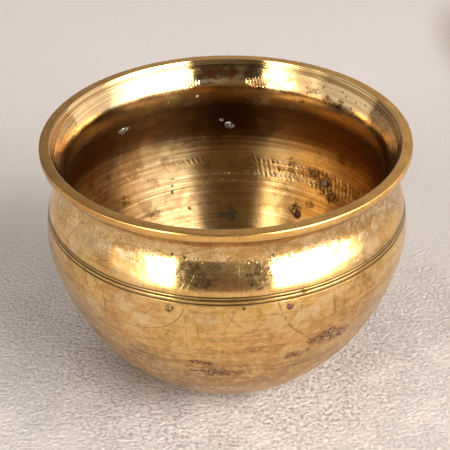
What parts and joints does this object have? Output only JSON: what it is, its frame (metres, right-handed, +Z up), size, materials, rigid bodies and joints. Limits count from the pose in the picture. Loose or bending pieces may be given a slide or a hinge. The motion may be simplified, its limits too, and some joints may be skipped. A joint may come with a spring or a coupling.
{
  "type": "urli bowl",
  "caption": "Heavy cast brass bowl with a round belly, waisted neck, flat everted lip and incised shoulder lines.",
  "frame": {"origin": "centre of the flat base that the bowl stands on", "axes": "+Z up along the bowl's axis of turning, -Y towards the side with the two shoulder pins"},
  "size_m": [0.2, 0.2, 0.143],
  "materials": {
    "casting": "lathe-turned and polished, aged",
    "brass_pin": "dull, tarnished",
    "copper_pin": "dull copper",
    "iron_pin": "worn grey"
  },
  "bodies": {
    "root": {"bowl_casting": "casting", "front_left_core_pin": "brass_pin", "front_right_core_pin": "copper_pin", "back_core_pin": "iron_pin", "back_left_core_pin": "iron_pin", "back_right_core_pin": "iron_pin", "lower_right_core_pin": "copper_pin"}
  },
  "joints": []
}
